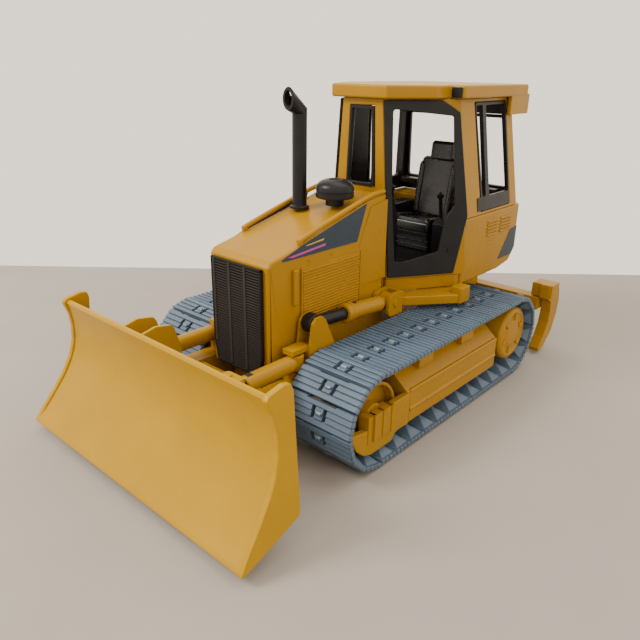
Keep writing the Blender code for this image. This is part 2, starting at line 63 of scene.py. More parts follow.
def area(name, pos, target, size, power, rgb):
    ld = bpy.data.lights.new(name, "AREA")
    ld.energy, ld.color, ld.shape, ld.size = power, rgb, "DISK", size
    ob = bpy.data.objects.new(name, ld)
    p, t = Vector(pos), Vector(target)
    ob.matrix_world = Matrix.Translation(p) @ (t - p).to_track_quat("-Z", "Y").to_matrix().to_4x4()
    COL.objects.link(ob)


# ------------------------------------------------------------------ materials
def material(name, rgb, rough, tint=0.05, grain=0.1, sss=0.0, coat=0.0, scale=60.0, spec=0.5):
    m = bpy.data.materials.new(name)
    m.use_nodes = True
    nt = m.node_tree
    b = nt.nodes["Principled BSDF"]
    tc = nt.nodes.new("ShaderNodeTexCoord")
    n1 = nt.nodes.new("ShaderNodeTexNoise")
    n1.inputs["Scale"].default_value = scale
    n1.inputs["Detail"].default_value = 4.0
    nt.links.new(tc.outputs["Object"], n1.inputs["Vector"])
    ramp = nt.nodes.new("ShaderNodeValToRGB")
    lo = [c * (1.0 - tint) for c in rgb]
    hi = [min(1.0, c * (1.0 + tint)) for c in rgb]
    ramp.color_ramp.elements[0].position, ramp.color_ramp.elements[1].position = 0.3, 0.7
    ramp.color_ramp.elements[0].color = (*lo, 1)
    ramp.color_ramp.elements[1].color = (*hi, 1)
    nt.links.new(n1.outputs["Fac"], ramp.inputs["Fac"])
    nt.links.new(ramp.outputs["Color"], b.inputs["Base Color"])
    n2 = nt.nodes.new("ShaderNodeTexNoise")
    n2.inputs["Scale"].default_value = scale * 3.1
    n2.inputs["Detail"].default_value = 6.0
    nt.links.new(tc.outputs["Object"], n2.inputs["Vector"])
    mr = nt.nodes.new("ShaderNodeMapRange")
    mr.inputs["From Min"].default_value, mr.inputs["From Max"].default_value = 0.25, 0.75
    mr.inputs["To Min"].default_value, mr.inputs["To Max"].default_value = rough - 0.06, rough + 0.08
    nt.links.new(n2.outputs["Fac"], mr.inputs["Value"])
    nt.links.new(mr.outputs["Result"], b.inputs["Roughness"])
    n3 = nt.nodes.new("ShaderNodeTexNoise")
    n3.inputs["Scale"].default_value = 1500.0
    n3.inputs["Detail"].default_value = 3.0
    nt.links.new(tc.outputs["Object"], n3.inputs["Vector"])
    bp = nt.nodes.new("ShaderNodeBump")
    bp.inputs["Strength"].default_value = grain
    bp.inputs["Distance"].default_value = 0.0001
    nt.links.new(n3.outputs["Fac"], bp.inputs["Height"])
    nt.links.new(bp.outputs["Normal"], b.inputs["Normal"])
    b.inputs["Subsurface Weight"].default_value = sss
    if sss:
        b.inputs["Subsurface Radius"].default_value = (1.0, 0.42, 0.06)
        b.inputs["Subsurface Scale"].default_value = 0.004
    b.inputs["Coat Weight"].default_value = coat
    b.inputs["Coat Roughness"].default_value = 0.25
    b.inputs["Specular IOR Level"].default_value = spec
    return m


YEL = material("yellow_moulded", (0.33, 0.166, 0.0), 0.3, 0.04, 0.1, scale=45, spec=0.22)
# The blade takes a lighter copy of the body's yellow plastic: painted light where the blade faces the key lamp.
BLADE_YEL_PAINTED_LIGHT = material("yellow_blade_painted_light", (0.39, 0.215, 0.0), 0.28, 0.05, 0.1, scale=30, spec=0.22)
BLK = material("black_moulded", (0.008, 0.008, 0.009), 0.36, 0.25, 0.2, scale=80, spec=0.25)
SEAT = material("seat_black", (0.008, 0.008, 0.009), 0.26, 0.2, 0.25, scale=90)
TRK = material("track_grey", (0.075, 0.115, 0.165), 0.45, 0.1, 0.35, scale=70)
PIN = material("track_knuckle", (0.12, 0.16, 0.2), 0.18, 0.1, 0.1, scale=70)
GRL = material("grille_brown", (0.013, 0.0095, 0.007), 0.5, 0.2, 0.2, scale=90, spec=0.15)
# Black that stands for the shade inside holes and recesses: painted shade, not a colour of the plastic.
PAINTED_SHADE_BLACK = material("painted_recess_shade", (0.008, 0.008, 0.009), 0.6, 0.2, 0.2, scale=90)
FILM = material("decal_slate", (0.028, 0.042, 0.06), 0.4, 0.06, 0.03, scale=90, spec=0.25)
MAG = material("decal_magenta", (0.45, 0.03, 0.28), 0.4, 0.05, 0.03, scale=90)
GLD = material("decal_gold", (0.5, 0.36, 0.02), 0.4, 0.05, 0.03, scale=90)
FLOOR = material("floor_pale", (0.31, 0.28, 0.245), 0.75, 0.03, 0.25, scale=12)


# ------------------------------------------------------------------ drawing in mm
def new_obj(bm, tag="tmp"):
    bmesh.ops.recalc_face_normals(bm, faces=bm.faces[:])
    me = bpy.data.meshes.new(tag)
    bm.to_mesh(me)
    bm.free()
    o = bpy.data.objects.new(tag, me)
    COL.objects.link(o)
    return o


def skin(rings, cap=True, closed=False):
    bm = bmesh.new()
    vs = [[bm.verts.new(p) for p in r] for r in rings]
    n = len(rings[0])
    pairs = list(zip(vs[:-1], vs[1:])) + ([(vs[-1], vs[0])] if closed else [])
    for a, b in pairs:
        for i in range(n):
            j = (i + 1) % n
            bm.faces.new((a[i], a[j], b[j], b[i]))
    if cap and not closed:
        bm.faces.new(vs[0][::-1])
        bm.faces.new(vs[-1])
    return new_obj(bm)


def fillet(pts, r, k=3):
    """Round every corner of a polygon."""
    out, n = [], len(pts)
    for i in range(n):
        p0, p, p1 = Vector(pts[i - 1]), Vector(pts[i]), Vector(pts[(i + 1) % n])
        a, b = (p0 - p), (p1 - p)
        la, lb = a.length, b.length
        if la < 1e-6 or lb < 1e-6:
            continue
        a, b = a / la, b / lb
        ang = math.acos(max(-1, min(1, a.dot(b))))
        rr = r[i] if isinstance(r, (list, tuple)) else r
        if rr <= 0 or ang > 3.05:
            out.append(tuple(p))
            continue
        t = min(rr / math.tan(ang / 2), 0.45 * la, 0.45 * lb)
        q0, q1 = p + a * t, p + b * t
        for j in range(k + 1):
            s = j / k
            q = q0 * (1 - s) ** 2 + p * 2 * s * (1 - s) + q1 * s ** 2
            out.append(tuple(q))
    return out


def inset(pts, d):
    """Move every edge of a polygon inwards by d."""
    n = len(pts)
    area2 = sum(pts[i - 1][0] * pts[i][1] - pts[i][0] * pts[i - 1][1] for i in range(n))
    sg = 1 if area2 > 0 else -1
    out = []
    for i in range(n):
        p0, p, p1 = Vector(pts[i - 1]), Vector(pts[i]), Vector(pts[(i + 1) % n])
        e0, e1 = (p - p0), (p1 - p)
        if e0.length < 1e-7 or e1.length < 1e-7:
            out.append(tuple(p))
            continue
        e0.normalize()
        e1.normalize()
        n0, n1 = Vector((-e0.y, e0.x)) * sg, Vector((-e1.y, e1.x)) * sg
        m = n0 + n1
        if m.length < 1e-6:
            m = n0
        m.normalize()
        out.append(tuple(p + m * (d / max(0.35, m.dot(n0)))))
    return out


def at(axis, p, t):
    return (t, p[0], p[1]) if axis == "x" else (p[0], t, p[1]) if axis == "y" else (p[0], p[1], t)


def prism(axis, pts, lo, hi):
    return skin([[at(axis, p, lo) for p in pts], [at(axis, p, hi) for p in pts]])


def rprism(axis, pts, lo, hi, r=0.6, k=2, f=0.0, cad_=3):
    """A prism with rounded rims: r on the caps' edges, f on the outline's corners."""
    if f:
        pts = fillet(pts, f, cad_)
    r = min(r, 0.45 * (hi - lo))
    rings = []
    for side in (0, 1):
        for j in range(k + 1):
            a = (j if side == 0 else k - j) / k * math.pi / 2
            off = r * (1 - math.cos(a))
            t = lo + off if side == 0 else hi - off
            ins = r * (1 - math.sin(a))
            q = inset(pts, ins) if ins > 1e-6 else pts
            rings.append([at(axis, p, t) for p in q])
    return skin(rings)


def rbox(x0, x1, y0, y1, z0, z1, r=0.6, f=0.6, axis="z", k=2):
    if axis == "z":
        return rprism("z", [(x0, y0), (x1, y0), (x1, y1), (x0, y1)], z0, z1, r, k, f, 2)
    if axis == "y":
        return rprism("y", [(x0, z0), (x1, z0), (x1, z1), (x0, z1)], y0, y1, r, k, f, 2)
    return rprism("x", [(y0, z0), (y1, z0), (y1, z1), (y0, z1)], x0, x1, r, k, f, 2)


def frame_to(p, d):
    d = Vector(d).normalized()
    up = Vector((0, 0, 1)) if abs(d.z) < 0.9 else Vector((0, 1, 0))
    u = d.cross(up).normalized()
    v = d.cross(u).normalized()
    m = Matrix((u, v, d)).transposed().to_4x4()
    m.translation = Vector(p)
    return m


def lathe(p, d, prof, n=48, closed=False):
    m = frame_to(p, d)
    bm = bmesh.new()
    rings = []
    for s, r in prof:
        if r < 1e-6:
            rings.append([bm.verts.new(m @ Vector((0, 0, s)))])
        else:
            rings.append([bm.verts.new(m @ Vector((r * math.cos(2 * math.pi * i / n),
                                                   r * math.sin(2 * math.pi * i / n), s))) for i in range(n)])
    pairs = list(zip(rings[:-1], rings[1:])) + ([(rings[-1], rings[0])] if closed else [])
    for a, b in pairs:
        for i in range(n):
            j = (i + 1) % n
            if len(a) == 1 and len(b) == 1:
                continue
            if len(a) == 1:
                bm.faces.new((a[0], b[i], b[j]))
            elif len(b) == 1:
                bm.faces.new((a[i], a[j], b[0]))
            else:
                bm.faces.new((a[i], a[j], b[j], b[i]))
    return new_obj(bm)


def rod(a, b, r, c=0.4, n=32):
    d = Vector(b) - Vector(a)
    L = d.length
    c = min(c, r * 0.6, L * 0.4)
    return lathe(a, d, [(0, 0), (0, r - c), (c * 0.3, r - c * 0.3), (c, r), (L - c, r), (L - c * 0.3, r - c * 0.3),
                        (L, r - c), (L, 0)], n)


def eye(a, b, ro, ri, n=40, c=0.4):
    d = Vector(b) - Vector(a)
    L = d.length
    return lathe(a, d, [(c * 0.5, ri), (0, ri + c * 0.5), (0, ro - c), (c, ro), (L - c, ro), (L, ro - c),
                        (L, ri + c * 0.5), (L - c * 0.5, ri)], n, closed=True)


def boolean(op, a, *others):
    for b in others:
        mod = a.modifiers.new("b", "BOOLEAN")
        mod.operation, mod.solver, mod.object = op, "EXACT", b
        bpy.context.view_layer.update()
        me = bpy.data.meshes.new_from_object(a.evaluated_get(bpy.context.evaluated_depsgraph_get()))
        a.modifiers.clear()
        a.data = me
        bpy.data.objects.remove(b, do_unlink=True)
    return a


def fuse(a, *o):
    return boolean("UNION", a, *o)


def cut(a, *o):
    return boolean("DIFFERENCE", a, *o)


def moved(o, m):
    o.data.transform(m)
    return o


def copy(o):
    c = bpy.data.objects.new("tmp", o.data.copy())
    COL.objects.link(c)
    return c


def mirror(o):
    c = copy(o)
    c.data.transform(Matrix.Diagonal((-1, 1, 1, 1)))
    c.data.flip_normals()
    return c


def join(*objs):
    bm = bmesh.new()
    for o in objs:
        bm.from_mesh(o.data)
        bpy.data.objects.remove(o, do_unlink=True)
    return_obj = bpy.data.meshes.new("join")
    bm.to_mesh(return_obj)
    bm.free()
    o = bpy.data.objects.new("join", return_obj)
    COL.objects.link(o)
    return o


def soften(o, width, seg=2, angle=30):
    b = o.modifiers.new("bevel", "BEVEL")
    b.width, b.segments, b.limit_method, b.angle_limit = width, seg, "ANGLE", math.radians(angle)
    b.use_clamp_overlap = True
    b.miter_outer = "MITER_ARC"
    return o


def finish_mesh(o, angle=38):
    me = o.data
    me.polygons.foreach_set("use_smooth", [True] * len(me.polygons))
    me.set_sharp_from_angle(angle=math.radians(angle))
    w = o.modifiers.new("normals", "WEIGHTED_NORMAL")
    w.keep_sharp, w.weight = True, 80


def put(name, o, body, mat, *replaced, angle=38, bevel=0.0, seg=2):
    """Finish a solid drawn in mm as a named piece that rides on a CAD body."""
    o.data.transform(Matrix.Scale(MM, 4))
    o.name = name
    o.data.name = name
    o.data.materials.clear()
    o.data.materials.append(mat)
    if bevel:
        soften(o, bevel * MM, seg)
    finish_mesh(o, angle)
    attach(o, body)
    if replaced:
        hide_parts(*replaced)
    return o


def pair(name, o, body, mat, *replaced, **kw):
    """The same piece on the left and mirrored on the right. '@' in a name stands for left or right."""
    r = mirror(o)
    put(name.replace("@", "left"), o, body.replace("@", "left"), mat,
        *[n.replace("@", "left") for n in replaced], **kw)
    put(name.replace("@", "right"), r, body.replace("@", "right"), mat,
        *[n.replace("@", "right") for n in replaced], **kw)


def keep(node, mat, bevel=0.5, seg=2, angle=38):
    """Carry a CAD node over with rounded edges and a moulded-plastic material."""
    o = NODES[node]
    o.data.materials.clear()
    o.data.materials.append(mat)
    w = o.modifiers.new("weld", "WELD")
    w.merge_threshold = 2e-6
    d = o.modifiers.new("flat", "DECIMATE")
    d.decimate_type, d.angle_limit = "DISSOLVE", math.radians(0.6)
    if bevel:
        soften(o, bevel * MM, seg)
    s = o.modifiers.new("normals", "WEIGHTED_NORMAL")
    s.keep_sharp, s.weight = True, 80


def local(o, p, u, v, n):
    m = Matrix((Vector(u), Vector(v), Vector(n))).transposed().to_4x4()
    m.translation = Vector(p)
    return moved(o, m)


def spline(pts, n):
    """Catmull-Rom through 2-D points."""
    out = []
    P = [Vector(p) for p in pts]
    for i in range(len(P) - 1):
        a, b, c, d = P[max(0, i - 1)], P[i], P[i + 1], P[min(len(P) - 1, i + 2)]
        for j in range(n):
            t = j / n
            out.append(tuple(0.5 * ((2 * b) + (c - a) * t + (2 * a - 5 * b + 4 * c - d) * t * t
                                    + (3 * b - a - 3 * c + d) * t ** 3)))
    out.append(tuple(P[-1]))
    return out


camera()
area("key", (-0.5, -0.8, 0.9), (0, 0, 0.08), 0.5, 15.0, (1.0, 0.97, 0.93))
area("fill", (0.9, -0.35, 0.6), (0, 0, 0.08), 0.9, 1.0, (0.95, 0.98, 1.0))
area("top", (0.1, 0.35, 1.1), (0, 0, 0.1), 0.9, 4.0, (1.0, 1.0, 1.0))
world = bpy.data.worlds.new("studio")
bpy.context.scene.world = world
world.use_nodes = True
world.node_tree.nodes["Background"].inputs["Color"].default_value = (1.7, 1.5, 1.27, 1)
world.node_tree.nodes["Background"].inputs["Strength"].default_value = 1.0

hd = math.radians(41.74)
fw2, rt2 = Vector((-math.sin(hd), math.cos(hd))), Vector((math.cos(hd), math.sin(hd)))
floor = prism("z", [tuple(rt2 * a + fw2 * b) for a, b in ((-1100, -1100), (1100, -1100), (1100, 275), (-1100, 275))],
              -6, -0.02)
floor.data.transform(Matrix.Scale(MM, 4))
floor.name = "floor"
floor.data.materials.append(FLOOR)

# ------------------------------------------------------------------ blade
def wide(z):
    """Half the blade's width, which grows towards the ground."""
    return 88.6 + 0.1013 * (80.4 - z)


def flared(pts):
    """A board as wide as the blade at each height."""
    return skin([[(-wide(z), y, z) for y, z in pts], [(wide(z), y, z) for y, z in pts]])


front = spline([(-152.8, 80.4), (-150.6, 73), (-149.3, 64), (-149.5, 54), (-152.2, 44), (-157.2, 34),
                (-164.2, 24), (-171.6, 14.6), (-178.2, 7.4)], 4)
back = spline([(-176.8, 5.7), (-169.2, 12.2), (-161.4, 21.6), (-154.2, 32.2), (-148.9, 43.2), (-146.0, 54),
               (-145.9, 64), (-147.2, 73.4), (-149.6, 81.4)], 4)
plate = [(-154.6, 81.0), (-152.8, 83.2), (-143.0, 85.2), (-139.0, 84.4), (-137.6, 80.6), (-139.6, 17.0),
         (-176.5, 5.2), (-179.0, 5.9), (-172.8, 14.9), (-165.1, 24.6), (-158.2, 34.6), (-153.1, 44.4),
         (-150.4, 54), (-150.1, 64), (-151.5, 73)]
plate = fillet(plate, [1.2, 1.5, 2, 1.5, 2, 4, 0.8, 1.0, 10, 10, 12, 12, 14, 14, 12], 4)
end = skin([[(wide(z) + o, y, z) for y, z in inset(plate, i)] for o, i in
            ((-1.8, 0.7), (-1.5, 0.2), (-1.0, 0.0), (1.0, 0.0), (1.5, 0.2), (1.8, 0.7))])
parts = [flared(front + [(-178.6, 6.2), (-177.8, 5.5)] + back + [(-150.4, 82.0), (-152.0, 81.8)]), mirror(end), end]
rib = [(-137.6, 24), (-137.6, 70), (-148.9, 72.4), (-147.6, 63.4), (-147.6, 54.2), (-150.4, 43.8), (-155.6, 33.0),
       (-162.4, 22.8)]
for x in (19.0, 26.0, 43.6, 61.0):
    for s in (1, -1):
        lo, hi = sorted((s * x, s * (x + 2.6)))
        parts.append(rprism("x", rib, lo, hi, 0.5, 2, 1.0))
parts.append(rbox(-62.3, 62.3, -150.4, -138.2, 36, 46, 0.8, 0.8))
for s in (1, -1):
    lo, hi = sorted((s * 29.0, s * 43.0))
    parts += [rbox(lo, hi, -147.7, -124.6, 45.5, 51.4, 0.6, 2.5), rbox(lo, hi, -147.5, -124.6, 60.6, 65.2, 0.6, 2.5),
              rod((s * 34.6, -130, 49), (s * 34.6, -130, 66.4), 2.0)]
cheek = fillet([(-148.0, 45), (-147.7, 72.8), (-132, 76.4), (-121.6, 74.6), (-119.6, 72.2), (-115.4, 58),
                (-116.6, 45)], [0.5, 1, 3, 3, 3, 4, 2], 4)
parts += [rprism("x", cheek, -27.0, -24.8, 0.5, 2), rprism("x", cheek, -45.2, -43.0, 0.5, 2)]
lug = cut(rbox(-9, 9, -149.0, -113.8, 43.2, 48.2, 0.6, 3), rod((0, -119, 30), (0, -119, 60), 3.7, 0))
lug2 = cut(rbox(-9, 9, -161.4, -113.8, 22.4, 26.8, 0.6, 3), rod((0, -119, 10), (0, -119, 40), 3.7, 0))
# The blade uses the lighter yellow, which is painted light.
put("blade_moulding", join(*parts, lug, lug2), "blade", BLADE_YEL_PAINTED_LIGHT, "blade", angle=30)


# ------------------------------------------------------------------ hood
def hood_z(y):
    return 120.0 + 0.2353 * (y + 68.0)


hood = [(-91, 43), (-91, 112.6), (-88.4, 115.4), (-68, 120), (14.7, hood_z(14.7)), (15.4, 99), (17, 95), (17, 48),
        (-78.4, 48), (-78.4, 43)]
hood = fillet(hood, [0.8, 1.2, 4, 10, 0.4, 0.4, 0.4, 0.4, 0.4, 0.8], 5)
cov = [rprism("x", hood, -25, 25, 1.8, 4)]
cowl = [(-11, 84), (-11, 111.8), (-1.6, 133.6), (14.4, 136.4), (14.9, 96.4), (15.6, 84)]
for s in (1, -1):
    cov.append(skin([[(s * 23.4, y, z) for y, z in cowl],
                     [(s * (25.12 + 1.5 * (y + 11) / 27.0), y, z) for y, z in cowl]]))
put("hood_cover", join(*cov), "machine", YEL, "hood_shell", angle=25)

g = [rprism("y", [(-21.4, 111.4), (-21.4, 58), (-19, 45), (19, 45), (21.4, 58), (21.4, 111.4)], -92.2, -91.3, 0.2, 1)]
SLAT_PITCH = 1.64
z = 46.4
while z < 110.2:
    w = 21.0 if z > 58 else 18.8 + (z - 45.4) * 0.17
    g.append(rprism("x", [(-92.4, z - 0.1), (-92.4, z + 1.1), (-93.2, z + 0.85), (-93.55, z + 0.2), (-93.2, z - 0.1)],
                    -w, w, 0.12, 1))
    z += SLAT_PITCH
for s in (1, -1):
    g.append(rprism("y", [(s * 20.2, 111.4), (s * 20.2, 58.2), (s * 17.9, 46.4), (s * 18.6, 45.0), (s * 21.4, 58.0),
                          (s * 21.4, 111.4)], -93.6, -92.0, 0.25, 1))
g.append(rbox(-21.4, 21.4, -93.6, -92.0, 110.0, 111.4, 0.25, 0.3, "y"))
g.append(rbox(-19, 19, -93.6, -92.0, 45.0, 46.2, 0.25, 0.3, "y"))
put("grille_slats", join(*g), "machine", GRL, "radiator_grille", angle=30)
# Dark marks on the grille face stand for its openings: painted shade.
dots = []
z, k = 47.6, 0
while z < 110.0:
    for x in (-18.7, -5.4, 8.0):
        if abs(x) < (20.4 if z > 58 else 18.4):
            dots.append(rbox(x - 0.95, x + 0.95, -93.75, -93.0, z - 0.55, z + 0.55, 0.1, 0.2, "y", 1))
    z += SLAT_PITCH
put("grille_dots", join(*dots), "machine", PAINTED_SHADE_BLACK)



def tube(pts, r, n=16):
    """A round bar of radius r along points, with flat ends."""
    P = [Vector(p) for p in pts]
    rings = []
    for i, p in enumerate(P):
        t = (P[min(i + 1, len(P) - 1)] - P[max(i - 1, 0)]).normalized()
        u = t.cross(Vector((1, 0, 0))).normalized()
        w = t.cross(u).normalized()
        rings.append([tuple(p + u * r * math.cos(2 * math.pi * k / n) + w * r * math.sin(2 * math.pi * k / n))
                      for k in range(n)])
    return skin(rings)


path = spline([(-64.2, 119.6), (-63.6, 122.0), (-60.6, 124.3), (-5.6, 139.0), (13.8, 141.3)], 6)
pair("hood_rail_bar_@", tube([(23.4, y, z) for y, z in path], 1.55), "machine", YEL, "hood_rail_@")
put("rail_web", rprism("x", [(-68, 118), (-61.6, 122.0), (-5, 137.2), (14, 139.4), (14, 130), (-66, 116)], 23.2,
                       25.02, 0.3, 1),
    "machine", YEL)

lv = [rprism("x", [(-65.4, 107.3), (-65.4, 62.5), (-10, 62.5), (-10, 107.3)], 25.05, 25.5, 0.2, 1, 0.6)]
z = 64.0
while z < 106.4:
    lv.append(rprism("y", [(25.3, z - 0.35), (26.0, z - 0.15), (26.2, z + 0.15), (26.0, z + 0.5), (25.3, z + 0.7)],
                     -63.8, -11.6, 0.3, 1))
    z += 1.85
lv.append(rprism("x", [(-65.4, 107.3), (-65.4, 62.5), (-64.2, 62.5), (-64.2, 107.3)], 25.3, 26.2, 0.25, 1))
lv.append(rprism("x", [(-11.2, 107.3), (-11.2, 62.5), (-10.0, 62.5), (-10.0, 107.3)], 25.3, 26.2, 0.25, 1))
pair("louvre_ribs_@", join(*lv), "machine", YEL, "louvre_panel_@", angle=30)
pair("panel_hinge_@", rprism("z", fillet([(24.6, -72.6), (27.4, -72.6), (27.4, -68.6), (24.6, -68.6)], 1.2, 4),
                             86.5, 107.9, 0.9, 3), "machine", YEL)

DECAL_X, DECAL_T, INK_T = 25.06, 0.25, 0.33      # film face, its thickness, and the printed stripes
pair("hood_decal_field_@", prism("x", fillet([(-84.4, 114.0), (-61.4, 121.6), (-5.6, 136.6), (-14.2, 113.7)],
                                             [1.2, 0, 0, 0], 3), DECAL_X, DECAL_X + DECAL_T), "machine", FILM,
     "hood_decal_@")
pair("hood_decal_stripe_a_@", prism("x", [(-76.4, 115.9), (-44.0, 118.4), (-44.6, 117.0), (-72, 115.0)],
                                    DECAL_X + DECAL_T, DECAL_X + INK_T), "machine", MAG)
pair("hood_decal_stripe_b_@", prism("x", [(-61.4, 120.1), (-45.6, 121.6), (-46.2, 120.6), (-60.0, 119.7)],
                                    DECAL_X + DECAL_T, DECAL_X + INK_T), "machine", GLD)
pair("hood_dots_@", join(rod((24.8, -58, 110.6), (25.5, -58, 110.6), 0.7, 0.2, 16),
                         rod((24.8, -38, 110.6), (25.5, -38, 110.6), 0.7, 0.2, 16)), "machine", YEL)

st = lathe((-13, -26.7, 131.2), (0, 0, 1), [(0, 0), (0, 6.0), (0.3, 6.3), (1.2, 6.3), (1.6, 5.9), (2.0, 4.8),
                                            (2.6, 4.6),
                                            (58, 4.6), (58, 0)], 48)
bmh = bmesh.new()
for k in range(48):
    c, q = math.cos(math.pi * k / 24), math.sin(math.pi * k / 24)
    bmh.verts.new((-13 + 4.6 * c, -26.7 + 4.6 * q, 188.6))
    bmh.verts.new((-13 + 4.6 * c, -26.7 + 4.6 * q, 191.6 + 0.3 * q))
    bmh.verts.new((-13 + 4.5 * c, -36.6, 197.2 + 6.4 * q))
    bmh.verts.new((-13 + 4.9 * c, -36.1, 197.2 + 6.8 * q))
bmesh.ops.convex_hull(bmh, input=bmh.verts[:])
bmesh.ops.delete(bmh, geom=[v for v in bmh.verts if not v.link_faces], context="VERTS")
st = fuse(st, new_obj(bmh))
st = cut(st, prism("y", [(-13 + 3.0 * math.cos(math.pi * k / 20), 197.3 + 4.7 * math.sin(math.pi * k / 20))
                         for k in range(40)], -44, -31))
put("exhaust_pipe", st, "machine", BLK, "exhaust_stack", angle=35)

ac = lathe((7, -15.5, 134.3), (0, 0, 1),
           [(0, 0), (0, 5.6), (0.3, 5.8), (4.7, 5.8), (4.7, 11.0), (5.0, 11.7), (5.6, 12.1), (8.2, 12.1),
            (8.5, 11.7), (9.1, 11.7),
            (9.4, 12.1), (11.2, 12.0), (12.4, 11.6), (13.4, 10.9), (14.4, 9.8), (15.2, 8.5), (15.9, 6.6),
            (16.2, 5.0), (16.0, 4.0),
            (15.3, 3.4), (15.1, 2.4), (15.0, 0)], 72)
put("air_cleaner_drum", ac, "machine", BLK, "air_cleaner", angle=30)

# ------------------------------------------------------------------ cab
DU = Vector((0.53200519, 0.84674109, 0.0))
DN = Vector((0.84536944, -0.53113655, 0.05696033)).normalized()
DV = DN.cross(DU).normalized()
DV = -DV if DV.z < 0 else DV
DP = Vector((25.0, 20.0, 82.0))
SW = Vector((-0.1067, 0.0, 0.9943)).normalized()
SY = Vector((0.0, 1.0, 0.0))
SN = SY.cross(SW).normalized()
SN = -SN if SN.x < 0 else SN
SP = Vector((57.0, 0.0, 80.5))


def zs(z):
    return (z - 80.5) / SW.z


def on_side(pts, lo, hi, r=0.0, f=0.0):
    q = [(y, zs(z)) for y, z in pts]
    o = rprism("z", q, lo, hi, r, 2, f) if r else prism("z", fillet(q, f, 3) if f else q, lo, hi)
    return local(o, SP, SY, SW, SN)


def on_door(pts, lo, hi, r=0.0, f=0.0):
    o = rprism("z", pts, lo, hi, r, 2, f) if r else prism("z", fillet(pts, f, 3) if f else pts, lo, hi)
    return local(o, DP, DU, DV, DN)


DOOR_OUT = [(-0.2, 0), (49.2, 0), (57.3, 39.8), (46.8, 107), (34, 114.4), (-6.4, 114.4)]
DOOR_IN = [(4.6, 10.9), (10.2, 10.1), (36.4, 16), (40.7, 38.7), (46.9, 47), (42.6, 104.8),
           (20, 107.1), (0.1, 109.2), (1.1, 54.2)]
d = cut(on_door(DOOR_OUT, 0.4, 2.0, 0.4, 1.5), on_door(DOOR_IN, -6, 8, 0, 2.0))
pair("door_frame_@", d, "door_@", BLK, "cab_door_@", bevel=0.3)
pair("door_handle_@", on_door([(43.2, 15.2), (45.8, 15.2), (45.8, 18.2), (43.2, 18.2)], 1.9, 2.7, 0.3, 0.5),
     "door_@", BLK)

w = cut(rprism("y", [(-11.8, 142.2), (11.8, 142.2), (9.8, 192.6), (-9.8, 192.6)], 17.3, 20.4, 0.4, 2, 1.0),
        prism("y", fillet([(-9.9, 144.2), (9.9, 144.2), (8.0, 190.8), (-8.0, 190.8)], 1.5), 10, 30))
put("front_window_trim", w, "machine", BLK, "front_window_frame", bevel=0.25)
RP, RU = Vector((0, 147.2, 118.9)), Vector((1, 0, 0))
RV = Vector((0, -0.1643, 0.9864)).normalized()
RN = Vector((0, -0.9864, -0.1643)).normalized()


def on_rear(pts, lo, hi, r=0.0, f=0.0):
    q = [(x, (z - 118.9) / RV.z) for x, z in pts]
    o = rprism("z", q, lo, hi, r, 2, f) if r else prism("z", fillet(q, f, 3) if f else q, lo, hi)
    return local(o, RP, RU, RV, RN)


w = cut(on_rear([(-47.7, 129.0), (47.7, 129.0), (42.9, 184.2), (-42.9, 184.2)], -0.4, 2.3, 0.4, 1.5),
        on_rear([(-45.9, 131.4), (45.9, 131.4), (41.4, 182.2), (-41.4, 182.2)], -9, 9, 0, 2.0))
put("rear_window_trim", w, "machine", BLK, "rear_window_frame", bevel=0.25)
w = cut(on_side([(92, 121), (135.6, 121), (125.6, 194.5), (81.6, 194.5)], -2.6, 0.4, 0.4, 1.5),
        on_side([(93.2, 131), (97.6, 131), (91.4, 192.5), (83.2, 192.5)], -8, 8, 0, 1.2),
        on_side([(102.8, 131), (132.2, 131), (123.6, 192.5), (96.2, 192.5)], -8, 8, 0, 2.0))
pair("side_window_trim_@", w, "machine", BLK, "side_window_frame_@", bevel=0.25)



def lined(name, centre):
    """Yellow outside; the faces that look towards the middle of the cab are black."""
    m = YEL.copy()
    m.name = name
    nt = m.node_tree
    b = nt.nodes["Principled BSDF"]
    src = b.inputs["Base Color"].links[0].from_socket
    tc = nt.nodes.new("ShaderNodeTexCoord")
    sub = nt.nodes.new("ShaderNodeVectorMath")
    sub.operation = "SUBTRACT"
    sub.inputs[1].default_value = centre
    nt.links.new(tc.outputs["Object"], sub.inputs[0])
    nm = nt.nodes.new("ShaderNodeVectorMath")
    nm.operation = "NORMALIZE"
    nt.links.new(sub.outputs[0], nm.inputs[0])
    dt = nt.nodes.new("ShaderNodeVectorMath")
    dt.operation = "DOT_PRODUCT"
    nt.links.new(nm.outputs[0], dt.inputs[0])
    nt.links.new(tc.outputs["Normal"], dt.inputs[1])
    lt = nt.nodes.new("ShaderNodeMath")
    lt.operation, lt.inputs[1].default_value = "LESS_THAN", -0.12
    nt.links.new(dt.outputs["Value"], lt.inputs[0])
    mx = nt.nodes.new("ShaderNodeMix")
    mx.data_type = "RGBA"
    nt.links.new(lt.outputs[0], mx.inputs["Factor"])
    nt.links.new(src, mx.inputs["A"])
    mx.inputs["B"].default_value = (0.008, 0.008, 0.009, 1)
    nt.links.new(mx.outputs["Result"], b.inputs["Base Color"])
    return m


keep("cab_shell", lined("cab_two_tone", (0.0, 0.085, 0.142)), 0.5)
keep("cab_base", YEL, 0.6)
keep("rear_body", YEL, 1.4, 3)
keep("cab_floor", BLK, 0.6)
keep("main_frame", YEL, 0.5)
keep("push_frame", YEL, 0.7)

half = [(22, 13), (40, 42), (40, 59), (49.5, 59), (49.5, 150), (46, 155)]
rp = half + [(-x, y) for x, y in reversed(half)]
roof = [rprism("z", rp, 197.3, 205.5, 1.4, 3, 2.0)]
roof += [rbox(-48.8, 48.8, 152.0, 154.6, 185, 199, 0.6, 0.8), rbox(46.2, 49.2, 126, 154.6, 185, 199, 0.6, 0.8),
         rbox(-49.2, -46.2, 126, 154.6, 185, 199, 0.6, 0.8)]
put("roof_panel", join(*roof), "machine", YEL, "cab_roof")
wl = [rbox(40.8, 48.2, 57.7, 58.9, 197.9, 204.4, 0.4, 0.8, "y")]
pair("work_light_@_lens", join(*wl), "machine", BLK, "work_light_@")

